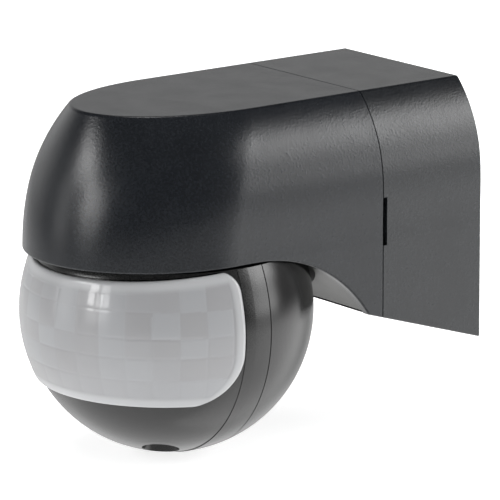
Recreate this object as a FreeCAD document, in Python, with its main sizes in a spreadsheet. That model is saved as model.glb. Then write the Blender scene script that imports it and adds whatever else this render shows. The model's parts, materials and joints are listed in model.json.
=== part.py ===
import FreeCAD, Part
import math
import os
import re
import Sketcher
from FreeCAD import Placement, Rotation, Vector

# Wall-mounted motion sensor: a flat-topped hood on a wall base, with a ball head that pans
# under the hood. Millimetres. The origin is the centre of the two wall screws, on the wall:
# -Y points out of the wall to the front of the sensor and +Z points up.
DIMENSIONS = {
    # hood and wall base
    "side_radius": 31.1,      # round shoulders of the hood, also half its width
    "shoulder_z": 9.0,        # centre of the shoulder arc
    "top_z": 31.0,
    "rim_z": -3.9,            # lower edge of the hood
    "nose_y": -107.3,         # front of the hood at its lower edge
    "nose_sweep": 11.0,       # how far the nose leans back at the top
    "nose_length": 33.3,      # half-ellipse of the nose
    "seam_y": -30.3,          # joint between wall base and hood
    "crest_round": 1.2,
    "rim_round": 0.4,
    "groove_width": 0.3,      # fine grooves that mark the seams
    "groove_depth": 0.3,
    "skin": 2.2,
    "arch_y": -67.6,          # where the underside starts to drop
    "arch_radius": 39.5,
    "heel_z": -32.6,          # lowest point, on the wall
    "heel_slope": 17.5,       # slant of the underside in degrees
    "back_plate": 2.4,
    "cover_inset": 0.5,
    "cover_skin": 2.0,
    "pocket_gap": 1.2,        # room round the ball in the bottom cover
    "rim_gap": 0.9,           # and inside the hood's rim
    "strip_y": -33.1,         # rear end of the bottom cover
    "lug_x": 23.8,            # screws that hold the cover to the hood
    "lug_z": -4.0,
    "slot_wide": 1.2,
    "slot_low": -5.3,
    "slot_high": 6.5,
    # wall fixing and cable entry
    "screw_spacing": 44.0,
    "screw_hole": 2.3,
    "entry_z": -9.0,
    "entry_radius": 6.5,
    "cable_radius": 3.3,
    # ball head
    "ball_radius": 35.0,
    "ball_y": -71.5,
    "ball_z": -20.0,
    "ball_skin": 2.3,
    "cap_step": 0.15,         # front cap lies this far below the middle ring
    "ring_front": -2.8,
    "ring_rear": 4.6,
    "flat_z": 15.6,           # flat top of the ball above its centre
    "lens_bottom": -16.6,
    "lens_top": 13.3,
    "lens_side": -3.1,
    "lens_rise": 4.2,         # slant of the lens's top edge in degrees
    "lens_round_low": 12.6,
    "lens_round_high": 5.0,
    "lens_proud": 0.8,
    "lens_skin": 1.2,
    "window_margin": 2.2,
    # swivel
    "neck_radius": 15.0,
    "neck_bore": 9.5,
    "swivel_gap": 0.3,
    # adjusting knobs
    "knob_radius": 4.2,
    "knob_pitch": 11.0,
    "knob_y": -10.5,
    "well_gap": 0.3,
    "stem_radius": 1.5,
    # boards and leads
    "board_z": 3.0,
    "board_thick": 1.6,
    "lead_radius": 0.6,
    "main_radius": 0.9,
}

doc = FreeCAD.newDocument("motion_sensor")
sheet = doc.addObject("Spreadsheet::Sheet", "Dimensions")
for row, (alias, size) in enumerate(DIMENSIONS.items(), 1):
    sheet.set("A%d" % row, alias)
    sheet.set("B%d" % row, str(size))
    sheet.setAlias("B%d" % row, alias)
doc.recompute()

PIECES = []
TURN = {
    "z": Rotation(),
    "y": Rotation(Vector(1, 0, 0), -90),
    "x": Rotation(Vector(0, 1, 0), 90),
}
SIDE_VIEW = Rotation(Vector(1, 1, 1), 120)   # sketch X along +Y, sketch Y along +Z


def q(text):
    """Expression text with each sheet alias written as a reference to its cell."""
    def cell(match):
        word = match.group()
        return "Dimensions." + word if word in DIMENSIONS else word
    return re.sub(r"[a-z_]+", cell, str(text))


def value(text):
    return float(sheet.evalExpression(q(text)))


def place(item, x, y, z, turn="z"):
    item.Placement = Placement(Vector(), TURN[turn])
    for axis, text in zip("xyz", (x, y, z)):
        item.setExpression(".Placement.Base." + axis, q(text))
    return item


def box(name, x_span, y_span, z_span):
    item = doc.addObject("Part::Box", name)
    for side, (low, high) in zip(("Length", "Width", "Height"), (x_span, y_span, z_span)):
        item.setExpression(side, q("(%s) - (%s)" % (high, low)))
    return place(item, x_span[0], y_span[0], z_span[0])


def cylinder(name, radius, x, y, z, length, axis="z"):
    item = doc.addObject("Part::Cylinder", name)
    item.setExpression("Radius", q(radius))
    item.setExpression("Height", q(length))
    return place(item, x, y, z, axis)


def ball(name, radius):
    item = doc.addObject("Part::Sphere", name)
    item.setExpression("Radius", q(radius))
    return place(item, 0, "ball_y", "ball_z")


def fuse(name, *items):
    item = doc.addObject("Part::MultiFuse", name)
    item.Shapes = list(items)
    return item


def common(name, *items):
    item = doc.addObject("Part::MultiCommon", name)
    item.Shapes = list(items)
    return item


def cut(name, base, *tools):
    item = doc.addObject("Part::Cut", name)
    item.Base = base
    item.Tool = tools[0] if len(tools) == 1 else fuse(name + "_tools", *tools)
    return item


def group(name, *items):
    item = doc.addObject("Part::Compound", name)
    item.Links = list(items)
    return item


def piece(item, label):
    item.Label = label
    PIECES.append(item)
    return item


def fix_point(sketch, geometry, end, x, y):
    """Hold one end of a sketch line at (x, y), both given as expressions."""
    for kind, text, axis in (("DistanceX", x, -2), ("DistanceY", y, -1)):
        size = value(text)
        if abs(size) < 1e-9:
            sketch.addConstraint(Sketcher.Constraint("PointOnObject", geometry, end, axis))
        else:
            index = sketch.addConstraint(Sketcher.Constraint(kind, -1, 1, geometry, end, size))
            sketch.setExpression("Constraints[%d]" % index, q(text))


def polygon(sketch, points):
    corners = [Vector(value(x), value(y), 0) for x, y in points]
    for index, (x, y) in enumerate(points):
        following = corners[(index + 1) % len(corners)]
        sketch.addGeometry(Part.LineSegment(corners[index], following))
    for index in range(len(points)):
        after = (index + 1) % len(points)
        sketch.addConstraint(Sketcher.Constraint("Coincident", index, 2, after, 1))
    for index, (x, y) in enumerate(points):
        fix_point(sketch, index, 1, x, y)


def origin_plane(body, role):
    return next(item for item in body.Origin.OriginFeatures if item.Role == role)


def turned(name, points, x, y, z, axis="z"):
    """A turned piece: a profile of (radius, height) points revolved about its own axis."""
    body = doc.addObject("PartDesign::Body", name)
    sketch = body.newObject("Sketcher::SketchObject", name + "_profile")
    sketch.AttachmentSupport = [(origin_plane(body, "XZ_Plane"), "")]
    sketch.MapMode = "FlatFace"
    polygon(sketch, points)
    revolution = body.newObject("PartDesign::Revolution", name + "_turn")
    revolution.Profile = sketch
    revolution.ReferenceAxis = (sketch, ["V_Axis"])
    revolution.Angle = 360
    return place(body, x, y, z, axis)


def outline(name, height, inset):
    """Plan outline of the hood at one height: straight sides closed by a half-ellipse nose."""
    lean = "((%s) - rim_z) / (top_z - rim_z)" % height
    half = "side_radius - %s" % inset
    if value(height) > DIMENSIONS["shoulder_z"]:
        half = "sqrt((side_radius - %s) ^ 2 - ((%s) - shoulder_z) ^ 2)" % (inset, height)
    level = value(height)
    half_width = value(half)
    length = value("nose_length - %s" % inset)
    axis_y = value("nose_y + nose_length + nose_sweep * (%s) ^ 2" % lean)
    tip = Vector(0, axis_y - length, level)
    left = Vector(-half_width, axis_y, level)
    nose = Part.Ellipse(tip, left, Vector(0, axis_y, level))
    right = Vector(half_width, axis_y, level)
    rear_left = Vector(-half_width, 0, level)
    rear_right = Vector(half_width, 0, level)
    edges = [Part.ArcOfEllipse(nose, -math.pi / 2, math.pi / 2).toShape()]
    for start, end in ((left, rear_left), (rear_left, rear_right), (rear_right, right)):
        edges.append(Part.LineSegment(start, end).toShape())
    section = doc.addObject("Part::Feature", name)
    section.Shape = Part.Wire(Part.__sortEdges__(edges))
    section.Placement = Placement(Vector(), Rotation())
    return section


def side_profile(name, inset):
    """Everything above the underside, seen from the side: rim, arch and slanted heel."""
    sketch = doc.addObject("Sketcher::SketchObject", name + "_sketch")
    sketch.Placement = Placement(Vector(), SIDE_VIEW)
    floor = value("rim_z + %s" % inset)
    heel = value("heel_z + %s / cos(heel_slope * 1 deg)" % inset)
    slope = math.tan(math.radians(DIMENSIONS["heel_slope"]))
    radius = value("arch_radius + %s" % inset)
    centre = Vector(DIMENSIONS["arch_y"], value("rim_z - arch_radius"), 0)
    # where the arch meets the slanted heel line
    drop = centre.y - heel + slope * centre.x
    reach = (slope * -drop + math.sqrt(radius ** 2 * (1 + slope ** 2) - drop ** 2)) / (1 + slope ** 2)
    angle = math.acos(reach / radius)
    foot = centre + Vector(radius * math.cos(angle), radius * math.sin(angle), 0)
    far = value("nose_y - 5")
    high = value("top_z + 5")
    corners = [Vector(*foot), Vector(0, heel, 0), Vector(0, high, 0), Vector(far, high, 0),
               Vector(far, floor, 0), Vector(centre.x, floor, 0)]
    for start, end in zip(corners, corners[1:]):
        sketch.addGeometry(Part.LineSegment(start, end))
    circle = Part.Circle(centre, Vector(0, 0, 1), radius)
    arc = sketch.addGeometry(Part.ArcOfCircle(circle, angle, math.pi / 2))
    for ends in ((0, 2, 1, 1), (1, 2, 2, 1), (2, 2, 3, 1), (3, 2, 4, 1), (4, 2, arc, 2), (arc, 1, 0, 1)):
        sketch.addConstraint(Sketcher.Constraint("Coincident", *ends))
    fix_point(sketch, arc, 3, "arch_y", "rim_z - arch_radius")
    sketch.addConstraint(Sketcher.Constraint("Vertical", arc, 2, arc, 3))
    index = sketch.addConstraint(Sketcher.Constraint("Radius", arc, radius))
    sketch.setExpression("Constraints[%d]" % index, q("arch_radius + %s" % inset))
    fix_point(sketch, 1, 1, "0", "heel_z + %s / cos(heel_slope * 1 deg)" % inset)
    angle_size = math.radians(180 - DIMENSIONS["heel_slope"])
    index = sketch.addConstraint(Sketcher.Constraint("Angle", -1, 1, 0, 2, angle_size))
    sketch.setExpression("Constraints[%d]" % index, q("(180 - heel_slope) * 1 deg"))
    sketch.addConstraint(Sketcher.Constraint("Vertical", 1))
    sketch.addConstraint(Sketcher.Constraint("Horizontal", 2))
    sketch.addConstraint(Sketcher.Constraint("Vertical", 3))
    sketch.addConstraint(Sketcher.Constraint("Horizontal", 4))
    fix_point(sketch, 3, 1, "nose_y - 5", "top_z + 5")
    prism = doc.addObject("Part::Extrusion", name)
    prism.Base = sketch
    prism.DirMode = "Normal"
    prism.Solid = True
    prism.Symmetric = True
    prism.setExpression("LengthFwd", q("4 * side_radius"))
    return prism


def blank(name, inset):
    """The hood's outline lofted from rim to top, carried straight down to the heel."""
    heights = ["rim_z", "rim_z + 6.4", "shoulder_z", "shoulder_z + 7", "shoulder_z + 13",
               "top_z - 4 - %s / 2" % inset, "top_z - %s" % inset]
    sections = [outline("%s_%d" % (name, i), height, inset) for i, height in enumerate(heights)]
    loft = doc.addObject("Part::Loft", name + "_loft")
    loft.Sections = sections
    loft.Solid = True
    half = "side_radius - %s" % inset
    skirt = box(name + "_skirt", ("-(%s)" % half, half), ("arch_y - 2", "0"), ("heel_z - 1", "rim_z"))
    doc.recompute()
    return fuse(name, loft, skirt)


def slab(name, front, rear):
    """Everything between two planes parallel to the wall."""
    return box(name, ("-60", "60"), (front, rear), ("-70", "60"))


def pair(name, make):
    """Two mirrored features, made by one function of the side (+1 or -1)."""
    return [make("%s_%s" % (name, side), sign) for side, sign in (("right", 1), ("left", -1))]


def span(centre, half):
    return ("(%s) - (%s)" % (centre, half), "(%s) + (%s)" % (centre, half))


def by(offset):
    return "ball_y + (%s)" % offset


def bz(offset):
    return "ball_z + (%s)" % offset


# ---- hood and wall base -----------------------------------------------------------------
def on_crest(edge):
    """Edge between the flat top and the shoulders or the nose."""
    box_of = edge.BoundBox
    return box_of.ZMin > DIMENSIONS["top_z"] - 0.1 and box_of.YMin < -1


def on_rim(edge):
    """Edge of the open underside: nose rim, arch and heel, but not the edge on the wall."""
    box_of = edge.BoundBox
    crosses = abs(edge.Vertexes[0].Point.x - edge.Vertexes[-1].Point.x) > 50
    level = box_of.ZMax < DIMENSIONS["rim_z"] + 0.1 and box_of.YMin < -1
    on_nose = edge.BoundBox.YMin < DIMENSIONS["nose_y"] + 5
    return level and (on_nose or not crosses)


def rounded(name, base, radii):
    """Fillets on the edges that a rule picks, one radius for each rule."""
    doc.recompute()
    item = doc.addObject("Part::Fillet", name)
    item.Base = base
    item.Edges = [(number, radius, radius) for number, edge in enumerate(base.Shape.Edges, 1)
                  for rule, radius in radii if rule(edge)]
    return item


sharp_outer = common("sharp_outer", blank("outer_blank", "0"), side_profile("outer_side", "0"))
outer = rounded("outer_body", sharp_outer, [(on_crest, DIMENSIONS["crest_round"]),
                                            (on_rim, DIMENSIONS["rim_round"])])
groove_core = common("groove_core", blank("groove_blank", "groove_depth"),
                     side_profile("groove_side", "groove_depth"))
seam_groove = cut("seam_groove", slab("groove_slab", "seam_y - groove_width / 2",
                                      "seam_y + groove_width / 2"), groove_core)
inner_blank = blank("inner_blank", "skin")
cavity = common("cavity", inner_blank, side_profile("inner_side", "skin"))
tongue_core = common("tongue_core", blank("tongue_blank", "(skin + 1.3)"),
                     side_profile("tongue_side", "(skin + 1.3)"))

tongue_band = common("tongue_band", cavity, slab("tongue_slab", "strip_y", "seam_y + 1.6"))
seam_tongue = cut("seam_tongue", tongue_band, tongue_core)

def ball_room(name, gap, top):
    """Room for the ball to turn in, between the side walls and up to a level plane."""
    return common(name, ball(name + "_ball", "ball_radius + %s" % gap),
                  box(name + "_limit", span(0, "(side_radius - 1)"), (by(-40), by(40)), (bz(-40), top)))



hood_block = common("hood_block", outer, slab("hood_slab", "nose_y - 10", "seam_y"))
hood_room = common("hood_room", inner_blank, slab("hood_room_slab", "nose_y - 10", "strip_y"))
hood_strip = common("hood_strip", cavity, slab("hood_strip_slab", "strip_y - 1", "seam_y + 1"))
hood_skin = cut("hood_skin", hood_block, hood_room, hood_strip, seam_groove)
hood_bosses = pair("hood_boss", lambda name, sign: common(
    name + "_in", inner_blank,
    box(name + "_rib", span(sign * 25.6, "4.4"), ("-42.2", "-38.2"), span("lug_z", "2.4"))))
hood_body = fuse("hood_body", hood_skin, seam_tongue, *hood_bosses)
boss_bores = pair("boss_bore", lambda name, sign: cylinder(
    name, "1.35", "%d * lug_x" % sign, "-44.8", "lug_z", "8", "y"))
piece(cut("hood_solid", hood_body, ball_room("hood_pocket", "rim_gap", "rim_z - 0.1"), *boss_bores),
      "hood_shell")

base_block = common("base_block", outer, slab("base_slab", "seam_y", "0"))
base_room = common("base_room", cavity, slab("base_room_slab", "seam_y - 1", "-back_plate"))
release_slots = pair("release_slot", lambda name, sign: box(
    name, span("%d * side_radius" % sign, "skin - 0.1"),
    ("seam_y - 1", "seam_y + slot_wide"), ("slot_low", "slot_high")))
wall_holes = [cylinder("wall_hole_" + side, "screw_hole", 0, -6, "%d * screw_spacing / 2" % sign, 8, "y")
              for side, sign in (("top", 1), ("bottom", -1))]
entry_hole = cylinder("entry_hole", "entry_radius", 0, -6, "entry_z", 8, "y")
drain = box("drain", ("-3", "3"), ("-9", "-6"), ("heel_z - 3", "heel_z + 8"))
base_shell = cut("base_shell", base_block, base_room, seam_groove, entry_hole, drain, *wall_holes,
                 *release_slots)
wall_pads = [cylinder("wall_pad_" + side, "5", 0, "-back_plate - 1.4", "%d * screw_spacing / 2" % sign,
                      "1.6", "y") for side, sign in (("top", 1), ("bottom", -1))]
block_posts = pair("block_post", lambda name, sign: cylinder(
    name, "2.4", sign * 18, "-back_plate - 3", "8", "3.2", "y"))
base_more = fuse("base_more", base_shell, *wall_pads, *block_posts)
pad_bores = [cylinder("pad_bore_" + side, "screw_hole", 0, -6, "%d * screw_spacing / 2" % sign, 8, "y")
             for side, sign in (("top", 1), ("bottom", -1))]
piece(cut("base_solid", base_more, *pad_bores), "wall_base")

gasket_band = common("gasket_band", cavity, slab("gasket_slab", "seam_y + 1.7", "seam_y + 3.2"))
piece(cut("gasket_solid", gasket_band, tongue_core), "seam_gasket")

piece(turned("grommet", [
    ("cable_radius", "0"), ("entry_radius + 1.6", "0"), ("entry_radius + 1.6", "1.4"),
    ("entry_radius", "1.4"), ("entry_radius", "1.4 + back_plate"),
    ("cable_radius", "1.4 + back_plate")],
    0, "-back_plate - 1.4", "entry_z", "y"), "cable_grommet")

# spring clips inside the seam tongue, freed through the side slots
clips = pair("latch_clip", lambda name, sign: fuse(
    name, box(name + "_leaf", span("%d * (side_radius - skin - 1.65)" % sign, "0.3"),
              ("seam_y - 5", "seam_y + 9"), ("slot_low", "slot_high")),
    box(name + "_hook", span("%d * (side_radius - skin - 0.95)" % sign, "0.9"),
        ("seam_y + 4", "seam_y + 6"), ("slot_low", "slot_high"))))
piece(group("clip_group", *clips), "latch_clips")

# ---- bottom cover with the swivel collar --------------------------------------------------
cover_blank = blank("cover_blank", "(skin + 0.1)")
cover_band = cut("cover_band", common(
    "cover_block", cover_blank, side_profile("cover_side", "cover_inset"),
    slab("cover_slab", "nose_y - 10", "strip_y - 0.1")),
    side_profile("cover_top_side", "(cover_inset + cover_skin)"))
cover_in = side_profile("cover_in_side", "(cover_inset + 0.4)")
post_spots = [("front_right", 18, -86), ("front_left", -18, -86), ("rear_right", 18, -48),
              ("rear_left", -18, -48)]
cover_posts = [common("cover_post_" + spot, cover_in,
                      cylinder("cover_post_rod_" + spot, "2.6", x, y, "-20", "20 + board_z"))
               for spot, x, y in post_spots]
cover_lugs = pair("cover_lug", lambda name, sign: common(
    name, cover_in, box(name + "_plate", span("%d * lug_x" % sign, "2.6"), ("-38.1", "-36.1"),
                   ("-19", "lug_z + 2.6"))))
cover_dome = common("cover_dome", cover_blank, cover_in,
                    ball("dome_ball", "ball_radius + pocket_gap + cover_skin"),
                    box("dome_limit", ("-40", "40"), ("ball_y", "strip_y - 0.1"),
                        (bz(-40), "rim_z + cover_inset + cover_skin")))
pan_stops = [box("pan_stop_%d" % sign, span(sign * 17.6, "1.1"), span("ball_y + 11.9", "1.4"),
                 ("rim_z + 1", "rim_z + 4.8"))
             for sign in (1, -1)]
cover_body = fuse("cover_body", cover_band, cover_dome, *cover_posts, *cover_lugs, *pan_stops)
cover_bores = [cylinder("post_bore_" + spot, "0.9", x, y, "board_z - 8", "9") for spot, x, y in post_spots]
lug_bores = pair("lug_bore", lambda name, sign: cylinder(
    name, "1.7", "%d * lug_x" % sign, "-40", "lug_z", "6", "y"))
swivel_bore = cylinder("swivel_bore", "neck_radius + swivel_gap", 0, "ball_y", "rim_z - 2", "8")
cover_pocket = ball_room("cover_pocket", "pocket_gap", "rim_z + cover_inset")
piece(cut("cover_solid", cover_body, cover_pocket, swivel_bore, *cover_bores, *lug_bores), "bottom_cover")

lug_screws = pair("cover_screw", lambda name, sign: fuse(
    name, cylinder(name + "_shank", "1.3", "%d * lug_x" % sign, "-44.5", "lug_z", "8.6", "y"),
    cylinder(name + "_head", "2.6", "%d * lug_x" % sign, "-36.1", "lug_z", "1.6", "y")))
piece(group("cover_screw_group", *lug_screws), "cover_screws")

# ---- swivel -------------------------------------------------------------------------------
piece(turned("neck", [
    ("neck_bore", "flat_z - 4.3"), ("neck_radius + 6", "flat_z - 4.3"),
    ("neck_radius + 6", "flat_z - 2.1"), ("neck_radius", "flat_z - 2.1"),
    ("neck_radius", "22.2"), ("neck_bore", "22.2")],
    0, "ball_y", "ball_z"), "swivel_neck")
retainer_ring = cut("retainer_ring", cylinder("retainer_disc", "19.2", 0, "ball_y", "rim_z + 3.3", "2.2"),
                    cylinder("retainer_hole", "neck_radius", 0, "ball_y", "rim_z + 3", "3"))
stop_finger = box("stop_finger", span("0", "1.6"), span("ball_y + 20", "1.9"), ("rim_z + 3.3", "rim_z + 4.9"))
piece(fuse("retainer_solid", retainer_ring, stop_finger), "swivel_retainer")
piece(cut("washer_solid", cylinder("washer_disc", "18.6", 0, "ball_y", "rim_z + 2.52", "0.7"),
          cylinder("washer_hole", "neck_radius + 0.6", 0, "ball_y", "rim_z + 2", "2")), "friction_washer")

# ---- ball head ----------------------------------------------------------------------------
def headroom(name, top):
    """Everything below a level plane inside the ball."""
    return box(name, ("-40", "40"), (by(-40), by(40)), (bz(-40), bz(top)))


def lens_outline(name, inset):
    """Side view of the lens: rounded towards the ring, with a top edge that rises to the rear."""
    low = "lens_bottom + %s" % inset
    prism = box(name + "_bar", ("-40", "40"), (by("-50"), by("lens_side - %s" % inset)),
                (bz(low), bz("lens_top + 12")))
    top = doc.addObject("Part::Box", name + "_lid")
    for side, text in (("Length", "80"), ("Width", "60"), ("Height", "20")):
        top.setExpression(side, q(text))
    top.Placement = Placement(Vector(), Rotation(Vector(1, 0, 0), DIMENSIONS["lens_rise"]))
    for axis, text in zip("xyz", ("-40", by("-37"), bz("lens_top - %s" % inset))):
        top.setExpression(".Placement.Base." + axis, q(text))
    bar = cut(name + "_cut", prism, top)
    corners = doc.addObject("Part::Fillet", name)
    corners.Base = bar
    doc.recompute()
    side_y = value(by("lens_side - %s" % inset))
    edges = []
    for number, edge in enumerate(bar.Shape.Edges, 1):
        middle = edge.CenterOfMass
        along_x = abs(edge.Vertexes[0].Point.x - edge.Vertexes[-1].Point.x) > 50
        if along_x and abs(middle.y - side_y) < 0.5:
            low_edge = middle.z < DIMENSIONS["ball_z"]
            radius = DIMENSIONS["lens_round_low" if low_edge else "lens_round_high"] - value(inset)
            edges.append((number, radius, radius))
    corners.Edges = edges
    return corners


top_cut = headroom("top_cut", "flat_z")
room = common("ball_room", ball("room_ball", "ball_radius - ball_skin"), headroom("room_cut", "flat_z - 2"))
cap = common("cap_part", ball("cap_ball", "ball_radius - cap_step"),
             slab("cap_slab", by(-40), by("ring_front")))
middle = common("middle_part", ball("middle_ball", "ball_radius"),
                slab("middle_slab", by("ring_front"), by("ring_rear")))
front_block = common("front_block", fuse("front_round", cap, middle), top_cut)
front_skin = cut("front_skin", front_block, room)
knob_spots = [("time", "-knob_pitch"), ("lux", "0"), ("sensitivity", "knob_pitch")]
wells = common("wells", ball("well_ball", "ball_radius - cap_step"), fuse("well_rods", *[
    cylinder("well_" + name, "knob_radius + well_gap + 1.1", x, by("knob_y"), bz(-36), "11.6")
    for name, x in knob_spots]))
screw_spots = pair("head_boss", lambda name, sign: common(
    name, ball(name + "_ball", "ball_radius - 1"),
    cylinder(name + "_rod", "3", sign * 15, by(-6), bz(-26), "6 + ring_rear", "y")))
front_body = fuse("front_body", front_skin, wells, *screw_spots)
window = lens_outline("window", "window_margin")
seat = cut("lens_seat", lens_outline("seat_outline", "0"),
           ball("seat_ball", "ball_radius - lens_skin"))
knob_holes = [cylinder("knob_hole_" + name, "knob_radius + well_gap", x, by("knob_y"), bz(-40), "14")
              for name, x in knob_spots]
stem_holes = [cylinder("stem_hole_" + name, "stem_radius + 0.2", x, by("knob_y"), bz(-28), "6")
              for name, x in knob_spots]
neck_hole = cylinder("neck_hole", "neck_radius", 0, "ball_y", bz(10), "8")
front_bores = pair("front_bore", lambda name, sign: cylinder(
    name, "1.25", sign * 15, by(-5), bz(-26), "12", "y"))
ball_groove = cut("ball_groove", slab("ball_groove_slab", by("ring_rear - groove_width / 2"),
                                      by("ring_rear + groove_width / 2")),
                  ball("groove_ball", "ball_radius - groove_depth"))
front_tools = [window, seat, neck_hole, ball_groove] + knob_holes + stem_holes + front_bores
piece(cut("front_solid", front_body, *front_tools), "head_front_shell")

rear_round = common("rear_round", ball("rear_ball", "ball_radius"),
                    slab("rear_slab", by("ring_rear"), by(40)), top_cut)
rear_skin = cut("rear_skin", rear_round, room)
rear_bosses = pair("rear_boss", lambda name, sign: common(
    name, ball(name + "_ball", "ball_radius - 1"),
    cylinder(name + "_rod", "4.2", sign * 15, by("ring_rear"), bz(-26), "20", "y")))
board_arms = pair("board_arm", lambda name, sign: common(
    name, ball(name + "_ball", "ball_radius - 1"),
    cylinder(name + "_rod", "2.2", sign * 15, by("-4.4"), bz(-10), "40", "y")))
rear_body = fuse("rear_body", rear_skin, *rear_bosses, *board_arms)
rear_bores = pair("rear_bore", lambda name, sign: fuse(
    name, cylinder(name + "_thin", "1.6", sign * 15, by(0), bz(-26), "30", "y"),
    cylinder(name + "_wide", "2.9", sign * 15, by("ring_rear + 3"), bz(-26), "30", "y")))
arm_bores = pair("arm_bore", lambda name, sign: cylinder(
    name, "0.9", sign * 15, by("-5"), bz(-10), "9", "y"))
rear_neck = cylinder("rear_neck", "neck_radius", 0, "ball_y", bz(10), "8")
piece(cut("rear_solid", rear_body, rear_neck, ball_groove, *rear_bores, *arm_bores), "head_rear_shell")

head_screws = pair("head_screw", lambda name, sign: fuse(
    name, cylinder(name + "_shank", "1.2", sign * 15, by(-3), bz(-26), "6 + ring_rear", "y"),
    cylinder(name + "_head", "2.6", sign * 15, by("ring_rear + 3"), bz(-26), "2", "y")))
piece(group("head_screw_group", *head_screws), "head_screws")

seal_round = common("seal_round", ball("seal_ball", "ball_radius - ball_skin"),
                    headroom("seal_cut", "flat_z - 4.6"),
                    slab("seal_slab", by("ring_rear - 1"), by("ring_rear + 1")))
seal_gaps = pair("seal_gap", lambda name, sign: cylinder(name, "4.4", sign * 15, by(0), bz(-26), "9", "y"))
piece(cut("seal_solid", seal_round, ball("seal_core", "ball_radius - ball_skin - 1.3"), *seal_gaps),
      "head_gasket")

lens_round = common("lens_round", ball("lens_ball", "ball_radius + lens_proud"),
                    lens_outline("lens_outline", "0.1"))
piece(cut("lens_solid", lens_round, ball("lens_core", "ball_radius - lens_skin")), "lens")

frame_round = common("frame_round", ball("frame_ball", "ball_radius - ball_skin"),
                     lens_outline("frame_outline", "0"), headroom("frame_cut", "flat_z - 4.6"))
piece(cut("frame_solid", frame_round, ball("frame_core", "ball_radius - ball_skin - 1.3"),
          lens_outline("frame_window", "window_margin")), "lens_frame")

# ---- adjusting knobs ----------------------------------------------------------------------
knob_tips = {"time": -28.4, "lux": -31.0, "sensitivity": -28.4}  # level ends, inside the ball at any turn
for name, x in knob_spots:
    tip = knob_tips[name]
    grip = cylinder("knob_grip_" + name, "knob_radius", x, by("knob_y"), bz(tip), str(-26.4 - tip))
    stem = cylinder("knob_stem_" + name, "stem_radius", x, by("knob_y"), bz(-27), "5")
    slot = box("knob_slot_" + name, span(x, "0.6"), span(by("knob_y"), "3.4"), (bz(tip - 1), bz(tip + 1.3)))
    piece(cut("knob_solid_" + name, fuse("knob_body_" + name, grip, stem), slot), "knob_" + name)

# ---- electronics in the head --------------------------------------------------------------
sensor_plate = box("sensor_plate", ("-19", "19"), (by(-6), by(-4.4)), (bz(-17.8), bz(10.6)))
plate_bores = pair("plate_bore", lambda name, sign: cylinder(
    name, "1.1", sign * 15, by(-8), bz(-10), "6", "y"))
piece(cut("sensor_board_solid", sensor_plate, *plate_bores), "sensor_board")
plate_screws = pair("plate_screw", lambda name, sign: fuse(
    name, cylinder(name + "_shank", "0.85", sign * 15, by(-6), bz(-10), "5.5", "y"),
    cylinder(name + "_head", "2", sign * 15, by(-7.2), bz(-10), "1.2", "y")))
piece(group("plate_screw_group", *plate_screws), "sensor_board_screws")
piece(box("control_board_solid", ("-16", "16"), (by(-15.4), by(-6.1)), (bz(-19.4), bz(-18))), "control_board")

can = fuse("can_body", cylinder("can_tube", "4.6", 0, by(-10.4), bz(-1), "4.4", "y"),
           cylinder("can_foot", "5.1", 0, by(-6.7), bz(-1), "0.7", "y"))
piece(cut("can_solid", can, box("can_window", ("-2.6", "2.6"), (by(-11), by(-10)), (bz(-3.1), bz(1.1)))),
      "pir_sensor")
piece(box("filter_solid", ("-2.6", "2.6"), (by(-10.4), by(-10)), (bz(-3.1), bz(1.1))), "pir_filter")


def domed(name, radius, x, z, length):
    """Round-ended part that stands forward from the sensor board."""
    tube = cylinder(name + "_tube", radius, x, by("-6 - %s" % length), bz(z), length, "y")
    end = doc.addObject("Part::Sphere", name + "_end")
    end.setExpression("Radius", q(radius))
    place(end, x, by("-6 - %s" % length), bz(z))
    return fuse(name, tube, end)


piece(domed("light_cell", "2.5", "11", "5", "3"), "light_sensor")
piece(domed("led", "1.5", "-11", "5", "3"), "status_led")

trimmers = [cut("trimmer_" + name,
                box("trimmer_case_" + name, span(x, "4"), span(by("knob_y"), "4"), (bz(-24.3), bz(-19.4))),
                cylinder("trimmer_bore_" + name, "stem_radius + 0.2", x, by("knob_y"), bz(-25), "4"))
            for name, x in knob_spots]
piece(group("trimmer_group", *trimmers), "trimmers")

# ---- electronics in the hood --------------------------------------------------------------
top_of_board = "board_z + board_thick"
plate = box("power_plate", ("-22", "22"), ("-90", "-42"), ("board_z", top_of_board))
plate_hole = cylinder("power_plate_hole", "neck_bore + 0.5", 0, "ball_y", "board_z - 1", "4")
post_holes = [cylinder("power_hole_" + spot, "1.1", x, y, "board_z - 1", "4") for spot, x, y in post_spots]
piece(cut("power_board_solid", plate, plate_hole, *post_holes), "power_board")
post_screws = [fuse("power_screw_" + spot,
                    cylinder("power_shank_" + spot, "0.85", x, y, "board_z - 5", "5 + board_thick"),
                    cylinder("power_head_" + spot, "2", x, y, top_of_board, "1.2"))
               for spot, x, y in post_spots]
piece(group("power_screw_group", *post_screws), "power_board_screws")
piece(box("relay_solid", ("-14.8", "4.6"), ("-62", "-46.6"), (top_of_board, "board_z + 17")), "relay")
piece(box("film_solid", ("6.4", "13.4"), ("-64", "-46.6"), (top_of_board, "board_z + 15")), "film_capacitor")
piece(cylinder("electrolytic_solid", "4", "16", "-69.5", top_of_board, "12"), "electrolytic_capacitor")
piece(cylinder("varistor_solid", "4.2", "13.4", "-79", "board_z + 7", "3.6", "y"), "varistor")
piece(cylinder("fuse_solid", "2.6", "-14", "-80", "board_z + 4.2", "9", "y"), "fuse")

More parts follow.
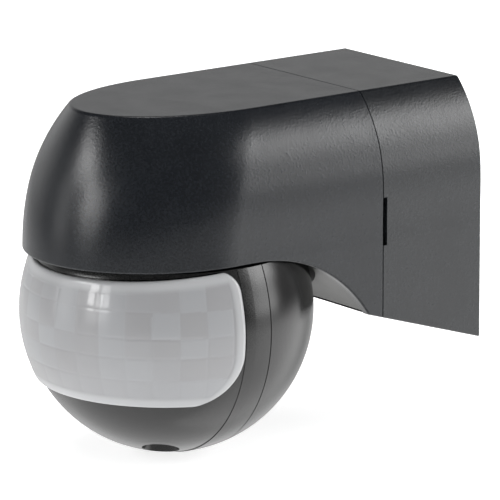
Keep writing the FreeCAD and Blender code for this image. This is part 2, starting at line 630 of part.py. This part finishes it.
# ---- terminal block -----------------------------------------------------------------------
ways = [-8.5, 0, 8.5]
block_y = "-back_plate - 3"
block_box = box("block_box", ("-20.5", "20.5"), ("%s - 1.6" % block_y, block_y), ("3", "13"))
block_core = box("block_core", ("-13", "13"), ("%s - 12" % block_y, block_y), ("2", "14"))
pockets = [box("block_pocket_%d" % i, span(x, "2.9"), ("%s - 8.6" % block_y, "%s - 1.8" % block_y),
               ("1", "12")) for i, x in enumerate(ways)]
drives = [cylinder("block_drive_%d" % i, "2.2", x, "%s - 13" % block_y, "8", "6", "y")
          for i, x in enumerate(ways)]
lead_ways = [cylinder("block_lead_%d" % i, "main_radius + 0.3", x, "%s - 4.6" % block_y, "11", "4")
             for i, x in enumerate(ways)]
piece(cut("block_solid", fuse("block_body", block_box, block_core), *pockets, *drives, *lead_ways),
      "terminal_block")
cages = [cut("clamp_%d" % i,
             box("clamp_cage_%d" % i, span(x, "2.7"),
                 ("%s - 8.4" % block_y, "%s - 2" % block_y), ("4.4", "11.6")),
             box("clamp_mouth_%d" % i, span(x, "1.7"),
                 ("%s - 6.4" % block_y, "%s - 3.2" % block_y), ("4", "12")),
             cylinder("clamp_thread_%d" % i, "1.5", x, "%s - 9" % block_y, "8", "4", "y"))
         for i, x in enumerate(ways)]
piece(group("clamp_group", *cages), "terminal_clamps")
clamp_screws = [fuse("clamp_screw_%d" % i,
                     cylinder("clamp_screw_shank_%d" % i, "1.45", x, "%s - 8.5" % block_y, "8", "2.6", "y"),
                     cylinder("clamp_screw_head_%d" % i, "2.1", x, "%s - 10.2" % block_y, "8", "1.7", "y"))
                for i, x in enumerate(ways)]
piece(group("clamp_screw_group", *clamp_screws), "terminal_screws")


# ---- internal leads -----------------------------------------------------------------------
def lead(points, bend, radius):
    """Round wire along straight runs joined by tangent arcs of one bend radius."""
    corners = [Vector(*point) for point in points]
    edges = []
    start = corners[0]
    for before, corner, after in zip(corners, corners[1:], corners[2:]):
        into = (corner - before).normalize()
        out = (after - corner).normalize()
        trim = bend * math.tan(into.getAngle(out) / 2)
        first = corner - into * trim
        last = corner + out * trim
        inward = (out - into).normalize()
        centre = corner + inward * math.hypot(bend, trim)
        edges.append(Part.LineSegment(start, first).toShape())
        edges.append(Part.Arc(first, centre - inward * bend, last).toShape())
        start = last
    edges.append(Part.LineSegment(start, corners[-1]).toShape())
    path = Part.Wire(edges)
    heading = corners[1] - corners[0]
    section = Part.Wire(Part.Circle(corners[0], heading, radius).toShape())
    solid = path.makePipeShell([section], True, True)
    expected = math.pi * radius ** 2 * path.Length
    if abs(solid.Volume - expected) > 0.01 * expected:
        raise RuntimeError("a lead's volume differs from its section times its length")
    return solid


def lead_set(name, label, routes, bend, radius):
    item = doc.addObject("Part::Feature", name)
    item.Shape = Part.makeCompound([lead(route, bend, radius) for route in routes])
    item.Placement = Placement(Vector(), Rotation())
    piece(item, label)


clamp_y = value("%s - 4.8" % block_y)
deck = value(top_of_board)
MAIN_BEND = 5
mains_routes = [[(x, clamp_y, 10), (x, clamp_y, 21), (x, -43.9, 21), (x, -43.9, deck)] for x in ways]
lead_set("mains_lead_wires", "mains_leads", mains_routes, MAIN_BEND, DIMENSIONS["main_radius"])

HEAD_BEND = 3.5
loop_z = 14
head_routes = [[(x, DIMENSIONS["ball_y"] - 3.2, DIMENSIONS["ball_z"] + 4),
                (x, DIMENSIONS["ball_y"] + 1, DIMENSIONS["ball_z"] + 4),
                (x, DIMENSIONS["ball_y"] + 1, loop_z), (x, -83.6, loop_z), (x, -83.6, deck)]
               for x in (-1.7, 0, 1.7)]
lead_set("head_lead_wires", "head_leads", head_routes, HEAD_BEND, DIMENSIONS["lead_radius"])

# ---- checks and export --------------------------------------------------------------------
doc.recompute()
for item in doc.Objects:
    if "Invalid" in item.State or "Error" in item.State:
        raise RuntimeError("%s did not recompute: %s" % (item.Name, item.getStatusString()))
for item in PIECES:
    if item.Shape.isNull() or not item.Shape.isValid():
        raise RuntimeError("%s has no valid shape" % item.Label)

os.makedirs("parts", exist_ok=True)
for item in PIECES:
    item.Shape.exportStep("parts/%s.step" % item.Label)
    size = item.Shape.BoundBox
    print("%-24s %d solids %9.1f mm3  x %.1f..%.1f y %.1f..%.1f z %.1f..%.1f" % (
        item.Label, len(item.Shape.Solids), item.Shape.Volume, size.XMin, size.XMax,
        size.YMin, size.YMax, size.ZMin, size.ZMax))
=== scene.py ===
import json
import math

import bpy
from mathutils import Matrix, Vector

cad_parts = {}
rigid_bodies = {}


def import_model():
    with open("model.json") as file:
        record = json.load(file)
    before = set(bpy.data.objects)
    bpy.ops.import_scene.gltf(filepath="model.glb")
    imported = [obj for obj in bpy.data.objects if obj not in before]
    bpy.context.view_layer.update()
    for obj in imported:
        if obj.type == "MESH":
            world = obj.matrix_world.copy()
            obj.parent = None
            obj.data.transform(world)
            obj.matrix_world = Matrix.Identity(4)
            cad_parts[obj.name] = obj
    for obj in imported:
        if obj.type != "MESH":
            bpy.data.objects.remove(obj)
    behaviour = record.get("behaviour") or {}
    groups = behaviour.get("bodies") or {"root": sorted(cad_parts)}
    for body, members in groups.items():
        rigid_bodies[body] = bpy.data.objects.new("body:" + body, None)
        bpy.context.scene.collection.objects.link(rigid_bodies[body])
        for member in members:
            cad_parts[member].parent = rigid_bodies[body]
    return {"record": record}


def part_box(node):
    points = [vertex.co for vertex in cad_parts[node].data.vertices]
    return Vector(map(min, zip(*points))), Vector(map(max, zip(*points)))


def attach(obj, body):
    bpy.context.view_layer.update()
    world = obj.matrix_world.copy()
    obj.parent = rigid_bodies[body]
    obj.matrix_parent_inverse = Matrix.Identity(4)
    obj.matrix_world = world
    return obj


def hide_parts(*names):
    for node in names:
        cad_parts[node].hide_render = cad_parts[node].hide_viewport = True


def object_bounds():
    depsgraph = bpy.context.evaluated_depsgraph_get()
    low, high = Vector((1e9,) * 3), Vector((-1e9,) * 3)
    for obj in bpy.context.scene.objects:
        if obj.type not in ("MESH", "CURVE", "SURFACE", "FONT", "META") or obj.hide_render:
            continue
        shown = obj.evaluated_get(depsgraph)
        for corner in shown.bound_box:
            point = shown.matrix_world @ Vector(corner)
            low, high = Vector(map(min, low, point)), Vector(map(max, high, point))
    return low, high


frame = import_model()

CAD_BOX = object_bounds()
MM = 0.001

# ---- places read from the frame --------------------------------------------------------------
JOINTS = {joint["name"]: joint for joint in frame["record"]["behaviour"]["joints"]}
BALL = Vector(JOINTS["head_pan"]["pos_m"])
RING_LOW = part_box("head_front_shell")[0]
BALL_RADIUS = BALL.z - RING_LOW.z
LENS_LOW, LENS_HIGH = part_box("lens")
LENS_RADIUS = BALL.y - LENS_LOW.y

# the camera: its direction from the ball, roll, distance in metres, and lens; then how far its
# aim lies beside and above the ball, as shares of the distance
AZIMUTH = math.radians(53.68)
ELEVATION = math.radians(14.33)
ROLL = math.radians(-0.42)
DISTANCE = 1.1036
LENS_MM = 331.25
AIM_RIGHT = 0.017867
AIM_UP = 0.012237
SENSOR_MM = 36.0


# ---- node helpers ----------------------------------------------------------------------------
# sockets of the Mix node that belong to its colour mode
MIX_FACTOR, MIX_FIRST, MIX_SECOND = 0, 6, 7
MIX_COLOUR = 2
# how far the normals of an edge turn: the cosines where the painted edge highlight starts and is full
EDGE_COSINES = (0.98, 0.80)
BEVEL_SAMPLES = 4


class Nodes:
    """A short way to write one material's node tree."""

    def __init__(self, name):
        self.material = bpy.data.materials.new(name)
        self.material.use_nodes = True
        self.tree = self.material.node_tree
        self.tree.nodes.clear()
        self.output = self.tree.nodes.new("ShaderNodeOutputMaterial")
        self.position = self.tree.nodes.new("ShaderNodeTexCoord").outputs["Object"]

    def add(self, kind, values=None, links=None, **settings):
        node = self.tree.nodes.new("ShaderNode" + kind)
        for key, setting in settings.items():
            setattr(node, key, setting)
        for key, value in (values or {}).items():
            node.inputs[key].default_value = value
        for key, socket in (links or {}).items():
            self.tree.links.new(socket, node.inputs[key])
        return node

    def noise(self, scale, detail=2.0, roughness=0.5):
        node = self.add("TexNoise", {"Scale": scale, "Detail": detail, "Roughness": roughness},
                        {"Vector": self.position})
        return node.outputs["Fac"]

    def cells(self, scale, feature="F1"):
        node = self.add("TexVoronoi", {"Scale": scale}, {"Vector": self.position}, feature=feature)
        return node.outputs["Distance"]

    def remap(self, socket, low, high, to_low, to_high):
        limits = {"From Min": low, "From Max": high, "To Min": to_low, "To Max": to_high}
        return self.add("MapRange", limits, {"Value": socket}).outputs["Result"]

    def math(self, operation, first, second):
        node = self.add("Math", operation=operation)
        for index, item in enumerate((first, second)):
            if isinstance(item, (int, float)):
                node.inputs[index].default_value = item
            else:
                self.tree.links.new(item, node.inputs[index])
        return node.outputs[0]

    def mix(self, factor, first, second):
        node = self.add("Mix", data_type="RGBA")
        self.tree.links.new(factor, node.inputs[MIX_FACTOR])
        for index, item in ((MIX_FIRST, first), (MIX_SECOND, second)):
            if isinstance(item, tuple):
                node.inputs[index].default_value = (*item, 1)
            else:
                self.tree.links.new(item, node.inputs[index])
        return node.outputs[MIX_COLOUR]

    def edge(self, radius):
        """Near 1 where the surface bends sharply within the radius, 0 on flat ground."""
        bevel = self.add("Bevel", {"Radius": radius}, samples=BEVEL_SAMPLES)
        geometry = self.add("NewGeometry")
        dot = self.add("VectorMath", operation="DOT_PRODUCT")
        self.tree.links.new(bevel.outputs["Normal"], dot.inputs[0])
        self.tree.links.new(geometry.outputs["Normal"], dot.inputs[1])
        return self.remap(dot.outputs["Value"], *EDGE_COSINES, 0.0, 1.0)

    def bump(self, height, strength, distance):
        node = self.add("Bump", {"Strength": strength, "Distance": distance}, {"Height": height})
        return node.outputs["Normal"]

    def surface(self, values, links):
        shader = self.add("BsdfPrincipled", values, links)
        self.tree.links.new(shader.outputs["BSDF"], self.output.inputs["Surface"])
        return self.material


# ranges of a noise pattern that are stretched over a whole change of colour or of gloss
COLOUR_SPAN = (0.35, 0.65)
GLOSS_SPAN = (0.3, 0.7)
TEXTURE_DEPTH = 0.05 * MM
# moulded plastic: its patterns, in cycles per metre or as shares, and its painted highlight along the
# edges and in glinting specks
PIT_HEIGHT = 0.7
FINE_SCALE = 0.7
BLOTCH_SCALE = 55
SMUDGE_SCALE = 130
# radius and share of the painted edge highlight
EDGE_HIGHLIGHT_RADIUS = 0.5 * MM
EDGE_HIGHLIGHT = 0.35
# span and share of the painted glints in the grain
GLINT_SPAN = (0.42, 0.66)
GLINT_SHARE = 0.22


def shade(colour, factor, lift=0.0):
    """The colour made lighter or darker by a factor, then lifted."""
    return tuple(min(1, part * factor + lift) for part in colour)


def moulded(name, colour, rough=0.25, grain=0.5, grain_mm=0.45, specular=0.5):
    """Injection-moulded plastic with a spark-eroded grain, painted lighter along its edges as a
    painted highlight, with painted glints in the grain.
    """
    n = Nodes(name)
    cell = 1 / (grain_mm * MM)
    pits = n.cells(cell, "SMOOTH_F1")
    fine = n.noise(cell * FINE_SCALE, 3.0, 0.6)
    height = n.math("ADD", n.math("MULTIPLY", pits, PIT_HEIGHT), fine)
    blotch = n.remap(n.noise(BLOTCH_SCALE, 3.0), *COLOUR_SPAN, 0, 1)
    # painted highlight colour, for the lit edges and the glinting specks
    painted_highlight = shade(colour, 2.2, 0.012)
    base = n.mix(blotch, shade(colour, 0.9), shade(colour, 1.15))
    # painted highlight along the edges, where the crests catch the light
    base = n.mix(n.math("MULTIPLY", n.edge(EDGE_HIGHLIGHT_RADIUS), EDGE_HIGHLIGHT), base, painted_highlight)
    # painted glints: light specks in the grain's colour that stand for its sparkle
    glints = n.remap(fine, *GLINT_SPAN, 0, 1)
    base = n.mix(n.math("MULTIPLY", glints, GLINT_SHARE), base, painted_highlight)
    gloss = n.remap(n.noise(SMUDGE_SCALE, 4.0), *GLOSS_SPAN, rough - 0.015, rough + 0.02)
    return n.surface({"Specular IOR Level": specular}, {
        "Base Color": base, "Roughness": gloss, "Normal": n.bump(height, grain, TEXTURE_DEPTH)})


# the small inner parts: their patterns in cycles per metre, and how far colour and gloss vary
TONE_SCALE, POLISH_SCALE, TEXTURE_SCALE = 300, 690, 1800
TONE_SPREAD = 0.12
GLOSS_SPREAD = 0.15


def plain(name, colour, rough, metallic=0.0, bumps=0.15, coat=0.0):
    """Small hidden part: colour variation, smudged gloss and a light surface texture."""
    n = Nodes(name)
    tone = n.remap(n.noise(TONE_SCALE, 3.0), *COLOUR_SPAN, 0, 1)
    duller = min(1, rough * (1 + GLOSS_SPREAD))
    gloss = n.remap(n.noise(POLISH_SCALE, 4.0), *GLOSS_SPAN, rough * (1 - GLOSS_SPREAD), duller)
    return n.surface({"Metallic": metallic, "Coat Weight": coat}, {
        "Base Color": n.mix(tone, shade(colour, 1 - TONE_SPREAD), shade(colour, 1 + TONE_SPREAD)),
        "Roughness": gloss, "Normal": n.bump(n.noise(TEXTURE_SCALE, 3.0), bumps, TEXTURE_DEPTH)})


def solder_mask(name):
    """Circuit board: green lacquer over copper tracks, with tinned pads."""
    n = Nodes(name)
    tracks = n.add("TexBrick", {"Scale": 90, "Mortar Size": 0.06, "Mortar Smooth": 0.1, "Bias": 0.0},
                   {"Vector": n.position}).outputs["Fac"]
    pads = n.remap(n.cells(260), 0.16, 0.2, 1, 0)
    lacquer = n.mix(tracks, (0.02, 0.13, 0.06), (0.03, 0.2, 0.09))
    tinned = n.mix(n.math("MULTIPLY", pads, 0.8), lacquer, (0.6, 0.58, 0.5))
    return n.surface({"Coat Weight": 0.4, "Coat Roughness": 0.2}, {
        "Base Color": tinned, "Roughness": n.remap(n.noise(400), *GLOSS_SPAN, 0.32, 0.45),
        "Normal": n.bump(n.math("ADD", tracks, pads), 0.3, 0.04 * MM)})


def milky(name):
    """Opal polyethylene lens: a clear skin over milky plastic, each cell with its own faint tone, and
    a painted glow along its border.
    """
    n = Nodes(name)
    tone = n.add("Attribute", attribute_name="cell_tone").outputs["Fac"]
    rim_glow = n.add("Attribute", attribute_name="border").outputs["Fac"]
    haze = n.remap(n.noise(60, 3.0), *GLOSS_SPAN, 0, 1)
    base = n.mix(haze, (0.30, 0.30, 0.307), (0.32, 0.32, 0.327))
    base = n.mix(tone, base, (0.355, 0.365, 0.38))
    # painted glow: the border band painted lighter where light shines through the thin rim
    base = n.mix(rim_glow, base, (0.42, 0.425, 0.435))
    return n.surface({"Specular IOR Level": 0.4, "Coat Weight": 0.6, "Coat Roughness": 0.03}, {
        "Base Color": base, "Roughness": n.remap(haze, 0, 1, 0.28, 0.33),
        "Normal": n.bump(n.noise(80, 1.0), 0.05, 0.02 * MM)})


# ---- materials on the CAD nodes --------------------------------------------------------------
ANTHRACITE = (0.0095, 0.011, 0.0135)
LOOKS = {
    "hood_plastic": moulded("hood_plastic_look", ANTHRACITE),
    "base_plastic": moulded("base_plastic_look", (0.0115, 0.013, 0.015), specular=0.55),
    "cover_plastic": moulded("cover_plastic_look", (0.055, 0.055, 0.051), 0.34, 0.15, 0.3),
    "head_plastic": moulded("head_plastic_look", (0.0125, 0.0125, 0.0125), 0.2, 0.14, 0.3),
    "knob_plastic": moulded("knob_plastic_look", (0.03, 0.03, 0.032), 0.4, 0.2),
    "lens_plastic": milky("lens_plastic_look"),
    "inner_plastic": plain("inner_plastic_look", (0.62, 0.61, 0.57), 0.45),
    "seal_rubber": plain("seal_rubber_look", (0.025, 0.025, 0.026), 0.75, bumps=0.4),
    "zinc_steel": plain("zinc_steel_look", (0.56, 0.57, 0.58), 0.32, 1.0),
    "terminal_brass": plain("terminal_brass_look", (0.62, 0.45, 0.17), 0.34, 1.0),
    "circuit_board": solder_mask("circuit_board_look"),
    "relay_plastic": plain("relay_plastic_look", (0.03, 0.09, 0.28), 0.3, coat=0.2),
    "capacitor_plastic": plain("capacitor_plastic_look", (0.36, 0.05, 0.03), 0.3, coat=0.3),
    "can_metal": plain("can_metal_look", (0.66, 0.65, 0.6), 0.22, 1.0),
    "filter_glass": plain("filter_glass_look", (0.04, 0.03, 0.035), 0.12, coat=0.6),
    "capacitor_metal": plain("capacitor_metal_look", (0.03, 0.04, 0.06), 0.3, coat=0.4),
    "varistor_coat": plain("varistor_coat_look", (0.03, 0.12, 0.36), 0.4, coat=0.3),
    "fuse_plastic": plain("fuse_plastic_look", (0.03, 0.03, 0.03), 0.5),
    "led_plastic": plain("led_plastic_look", (0.6, 0.04, 0.03), 0.15, coat=0.5),
    "cell_plastic": plain("cell_plastic_look", (0.6, 0.42, 0.25), 0.25, coat=0.5),
    "trimmer_plastic": plain("trimmer_plastic_look", (0.04, 0.1, 0.32), 0.4),
    "lead_sleeve": plain("lead_sleeve_look", (0.16, 0.16, 0.17), 0.45),
    "block_plastic": plain("block_plastic_look", (0.66, 0.66, 0.62), 0.42),
}
for row in frame["record"]["subparts"]:
    for slot in bpy.data.objects[row["node"]].material_slots:
        slot.material = LOOKS[row["material_slot"]]


# ---- lens with its field of cells ------------------------------------------------------------
# faces of the mesh along and across, and how far it stays inside the CAD lens
LENS_COLUMNS, LENS_ROWS = 320, 150
KEEP_INSIDE = 0.05 * MM
LENS_PROUD = LENS_RADIUS - BALL_RADIUS - KEEP_INSIDE
LENS_WALL = 1.1 * MM
LENS_BOTTOM = LENS_LOW.z - BALL.z
LENS_SIDE = LENS_HIGH.y - BALL.y
LENS_TOP_FRONT = 13.2 * MM
LENS_TOP_SLOPE = math.tan(math.radians(4.2))
ROUND_LOW = 12.5 * MM
ROUND_HIGH = 4.9 * MM
EDGE_ROUND = 1.2 * MM
RIM_BEVEL = 0.25 * MM
# smooth border band, then the cells: how deep they lie, how far they bulge, and their creases
BORDER = 2.6 * MM
BORDER_BLEND = 0.5 * MM
# share of the border painted lighter, as a painted glow of light through the lens rim
RIM_GLOW_SHARE = 0.6
CELL_DEPTH = 0.09 * MM
CELL_CROWN = 0.05 * MM
CREASE_DEPTH = 0.05 * MM
CREASE_HALF = 0.45 * MM
CELL_STEP = math.radians(10.6)
CELL_ROWS = (7.1 * MM, 1.0 * MM, -3.7 * MM, -9.2 * MM)
TONE_BY_COLUMN, TONE_BY_ROW, TONE_BY_BOTH = 2.4, 4.1, 0.9
TONE_SHARE = 0.55
# rounds needed to settle a point's height, since the lens's top edge depends on its place
HEIGHT_ROUNDS = 4


def lens_top(y):
    """Height of the lens's top edge, which rises towards the sides."""
    return LENS_TOP_FRONT + LENS_TOP_SLOPE * (y + BALL_RADIUS)


def lens_side(z):
    """How far back the lens reaches at one height, with its rounded corners."""
    low_centre = LENS_BOTTOM + ROUND_LOW
    high_centre = lens_top(LENS_SIDE) - ROUND_HIGH
    if z < low_centre:
        return LENS_SIDE - ROUND_LOW + math.sqrt(max(0, ROUND_LOW ** 2 - (low_centre - z) ** 2))
    if z > high_centre:
        reach = min(z - high_centre, ROUND_HIGH)
        return LENS_SIDE - ROUND_HIGH + math.sqrt(max(0, ROUND_HIGH ** 2 - reach ** 2))
    return LENS_SIDE


def denser_at_ends(part):
    """Spacing of 0 to 1 that packs more of the mesh along both edges."""
    return 0.5 * part + 0.5 * (0.5 - 0.5 * math.cos(math.pi * part))


def smooth(value):
    """Held within 0 to 1, and easing in and out of both ends."""
    value = min(1, max(0, value))
    return value * value * (3 - 2 * value)


def lens_relief(angle, z, inset):
    """Radial offset of the outer skin: rounded edge, smooth border band, then shallow cells."""
    shy = 1 - min(1, max(0, inset / EDGE_ROUND))
    edge = LENS_PROUD * (math.sqrt(1 - shy ** 2) - 1)
    inside = smooth((inset - BORDER) / BORDER_BLEND)
    across = abs((angle / CELL_STEP + 0.5) % 1 - 0.5)
    crease = 1 - smooth((0.5 - across) * CELL_STEP * BALL_RADIUS / CREASE_HALF)
    for row in CELL_ROWS:
        crease = max(crease, 1 - smooth(abs(z - row) / CREASE_HALF))
    crown = CELL_CROWN * (1 - (2 * across) ** 2)
    return LENS_PROUD + edge + inside * (crown - CELL_DEPTH - CREASE_DEPTH * crease)


def cell_tone(angle, z):
    """A fixed tone for each cell, from 0 to TONE_SHARE."""
    column = math.floor(angle / CELL_STEP + 0.5)
    row = sum(z < edge for edge in CELL_ROWS)
    wave = math.sin(column * TONE_BY_COLUMN + row * TONE_BY_ROW + TONE_BY_BOTH * column * row)
    return (0.5 + 0.5 * wave) * TONE_SHARE


def lens_point(across, up):
    """One point of the lens by its shares of width (-1 to 1) and height (0 to 1).

    Gives the point on the ball's surface, its height, its turn round the ball, and its
    distance from the lens's edge.
    """
    z = LENS_BOTTOM + up * (LENS_TOP_FRONT - LENS_BOTTOM)
    for _ in range(HEIGHT_ROUNDS):
        ring = math.sqrt(BALL_RADIUS ** 2 - z * z)
        reach = math.acos(min(1, max(-1, -lens_side(z) / ring)))
        y = -ring * math.cos(across * reach)
        z = LENS_BOTTOM + up * (lens_top(y) - LENS_BOTTOM)
    angle = across * reach
    inset = min((1 - abs(across)) * reach * ring, z - LENS_BOTTOM, lens_top(y) - z)
    return Vector((ring * math.sin(angle), y, z)), z, angle, inset


def lens_faces():
    """Outer and inner skins of the grid, and the strip that joins them along the edge."""
    width = LENS_COLUMNS + 1
    count = width * (LENS_ROWS + 1)
    faces = []
    for j in range(LENS_ROWS):
        for i in range(LENS_COLUMNS):
            a = j * width + i
            quad = (a, a + 1, a + width + 1, a + width)
            faces.append(quad)
            faces.append(tuple(count + corner for corner in reversed(quad)))
    border = list(range(LENS_COLUMNS))
    border += [j * width + LENS_COLUMNS for j in range(LENS_ROWS)]
    border += [LENS_ROWS * width + i for i in range(LENS_COLUMNS, 0, -1)]
    border += [j * width for j in range(LENS_ROWS, 0, -1)]
    for a, b in zip(border, border[1:] + border[:1]):
        faces.append((b, a, count + a, count + b))
    return faces


def make_lens():
    outer, inner, tones, rim_glow_shares = [], [], [], []
    for j in range(LENS_ROWS + 1):
        up = denser_at_ends(j / LENS_ROWS)
        for i in range(LENS_COLUMNS + 1):
            across = 2 * denser_at_ends(i / LENS_COLUMNS) - 1
            point, z, angle, inset = lens_point(across, up)
            lift = lens_relief(angle, z, inset)
            outer.append(BALL + point * ((BALL_RADIUS + lift) / BALL_RADIUS))
            inner.append(BALL + point * ((BALL_RADIUS - LENS_WALL) / BALL_RADIUS))
            tones.append(cell_tone(angle, z))
            # the border attribute carries the painted glow along the lens rim
            rim_glow_shares.append(1 - smooth((inset - RIM_GLOW_SHARE * BORDER) / (RIM_GLOW_SHARE * BORDER)))
    faces = lens_faces()
    mesh = bpy.data.meshes.new("lens_cells")
    mesh.from_pydata(outer + inner, [], faces)
    mesh.polygons.foreach_set("use_smooth", [True] * len(faces))
    mesh.materials.append(LOOKS["lens_plastic"])
    for label, values in (("cell_tone", tones), ("border", rim_glow_shares)):
        layer = mesh.attributes.new(label, "FLOAT", "POINT")
        layer.data.foreach_set("value", values * 2)
    lens = bpy.data.objects.new("lens_cells", mesh)
    bpy.context.scene.collection.objects.link(lens)
    rim = lens.modifiers.new("rim", "BEVEL")
    rim.width = RIM_BEVEL
    rim.segments = 3
    rim.limit_method = "ANGLE"
    rim.angle_limit = math.radians(50)
    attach(lens, "head")
    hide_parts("lens")


make_lens()


# ---- floor, light and camera -----------------------------------------------------------------
FLOOR_HALF = 6.0
FLOOR_GAP = 0.2 * MM


def floor_material():
    n = Nodes("floor_look")
    tone = n.mix(n.remap(n.noise(3, 2.0), *GLOSS_SPAN, 0, 1), (0.88, 0.88, 0.88), (0.9, 0.9, 0.9))
    return n.surface({"Roughness": 0.9, "Specular IOR Level": 0.1, "Emission Color": (1, 1, 1, 1),
                      "Emission Strength": 0.75}, {"Base Color": tone})


def make_floor():
    mesh = bpy.data.meshes.new("floor")
    signs = ((-1, -1), (1, -1), (1, 1), (-1, 1))
    mesh.from_pydata([(x * FLOOR_HALF, y * FLOOR_HALF, 0) for x, y in signs], [], [(0, 1, 2, 3)])
    floor = bpy.data.objects.new("floor", mesh)
    floor.location.z = CAD_BOX[0].z - FLOOR_GAP
    floor.visible_glossy = False
    mesh.materials.append(floor_material())
    bpy.context.scene.collection.objects.link(floor)


LIGHT_AIM = BALL + Vector((0, 0.03, 0.02))


def area_light(name, azimuth, elevation, distance, size, power):
    """Soft box that reflections don't show, in a direction from the middle of the object."""
    light = bpy.data.lights.new(name, "AREA")
    light.shape = "RECTANGLE"
    light.size, light.size_y = size
    light.energy = power
    item = bpy.data.objects.new(name, light)
    a, e = math.radians(azimuth), math.radians(elevation)
    outward = Vector((math.sin(a) * math.cos(e), -math.cos(a) * math.cos(e), math.sin(e)))
    item.location = LIGHT_AIM + outward * distance
    item.rotation_mode = "QUATERNION"
    item.rotation_quaternion = outward.to_track_quat("Z", "Y")
    item.visible_glossy = False
    bpy.context.scene.collection.objects.link(item)


# soft boxes of the studio in degrees: azimuth, elevation, half width, half height, soft edge;
# then radiance
SOFT_BOXES = (
    (143, 26, 13, 11, 5, 6.8),
    (138, 5, 12, 9, 5, 4.0),
    (-22, 28, 11, 7, 5, 8.2),
    (-3, 6, 9, 9, 5, 2.3),
    (-8.6, 16, 3.6, 8, 0.6, 8.5),
    (1.9, 16, 3.6, 8, 0.6, 4.6),
    (-34, 6, 9, 12, 6, 1.5),
    (-80, 8, 30, 16, 12, 0.4),
    (-128, 10, 60, 10, 14, 0.52),
    (-126, 64, 12, 7, 3, 5.0),
)
# the table's glow: elevations where it starts and is full, radiance in front and behind
TABLE_NEAR = (-3, -13, 0.7, 2.2)
TABLE_DEEP = (-20, -42, 0.5, -0.4)
# the direction called behind, and the cosines from it over which front blends into behind
REAR_AZIMUTH = 155
REAR_BLEND = (0.72, 0.95)
ROOM = 0.03


def make_world():
    """The studio as its reflections show it: a dark room, a bright table and soft boxes."""
    world = bpy.data.worlds.new("studio")
    bpy.context.scene.world = world
    world.use_nodes = True
    tree = world.node_tree
    tree.nodes.clear()

    def add(kind, **settings):
        node = tree.nodes.new("ShaderNode" + kind)
        for key, setting in settings.items():
            setattr(node, key, setting)
        return node

    def maths(operation, *items):
        node = add("Math", operation=operation)
        for index, item in enumerate(items):
            if isinstance(item, (int, float)):
                node.inputs[index].default_value = item
            else:
                tree.links.new(item, node.inputs[index])
        return node.outputs[0]

    def ramp(socket, low, high, to_low, to_high):
        node = add("MapRange", interpolation_type="SMOOTHSTEP")
        for index, number in enumerate((low, high, to_low, to_high), 1):
            node.inputs[index].default_value = number
        tree.links.new(socket, node.inputs[0])
        return node.outputs[0]

    split = add("SeparateXYZ")
    tree.links.new(add("TexCoord").outputs["Generated"], split.inputs[0])
    x, y, z = split.outputs
    turn = maths("ARCTAN2", x, maths("MULTIPLY", y, -1.0))
    azimuth = maths("MULTIPLY", turn, math.degrees(1))
    elevation = maths("MULTIPLY", maths("ARCSINE", z), math.degrees(1))
    total = ROOM
    for centre, height, wide, tall, soft, radiance in SOFT_BOXES:
        sideways = maths("ABSOLUTE", maths("WRAP", maths("SUBTRACT", azimuth, centre), 180.0, -180.0))
        upwards = maths("ABSOLUTE", maths("SUBTRACT", elevation, height))
        across = ramp(sideways, wide + soft, max(0, wide - soft), 0, 1)
        over = ramp(upwards, tall + soft, max(0, tall - soft), 0, 1)
        total = maths("ADD", total, maths("MULTIPLY", maths("MULTIPLY", across, over), radiance))
    towards_rear = maths("COSINE", maths("SUBTRACT", turn, math.radians(REAR_AZIMUTH)))
    for start, full, front, rear in (TABLE_NEAR, TABLE_DEEP):
        below = ramp(elevation, start, full, 0, 1)
        glow = ramp(towards_rear, *REAR_BLEND, front, rear)
        total = maths("ADD", total, maths("MULTIPLY", below, glow))
    background = add("Background")
    tree.links.new(total, background.inputs["Color"])
    plain_background = add("Background")
    plain_background.inputs["Color"].default_value = (1, 1, 1, 1)
    choice = add("MixShader")
    tree.links.new(add("LightPath").outputs["Is Camera Ray"], choice.inputs[0])
    tree.links.new(background.outputs[0], choice.inputs[1])
    tree.links.new(plain_background.outputs[0], choice.inputs[2])
    tree.links.new(choice.outputs[0], add("OutputWorld").inputs["Surface"])


def make_camera():
    right = Vector((math.cos(AZIMUTH), math.sin(AZIMUTH), 0))
    back = Vector((math.sin(AZIMUTH) * math.cos(ELEVATION), -math.cos(AZIMUTH) * math.cos(ELEVATION),
                   math.sin(ELEVATION)))
    up = back.cross(right)
    right_rolled = math.cos(ROLL) * right + math.sin(ROLL) * up
    up_rolled = -math.sin(ROLL) * right + math.cos(ROLL) * up
    forward = (AIM_RIGHT * right_rolled + AIM_UP * up_rolled - back).normalized()
    side = forward.cross(up_rolled).normalized()
    over = side.cross(forward)
    data = bpy.data.cameras.new("camera")
    data.lens = LENS_MM
    data.sensor_width = SENSOR_MM
    camera = bpy.data.objects.new("camera", data)
    turn = Matrix((side, over, -forward)).transposed()
    camera.matrix_world = Matrix.Translation(BALL + back * DISTANCE) @ turn.to_4x4()
    bpy.context.scene.collection.objects.link(camera)
    bpy.context.scene.camera = camera


make_floor()
make_world()
area_light("key_top", 60, 80, 1.1, (1.4, 1.4), 8)
area_light("side_fill", 112, 8, 1.0, (0.9, 0.9), 2.6)
bpy.context.scene.view_settings.view_transform = "Standard"
make_camera()
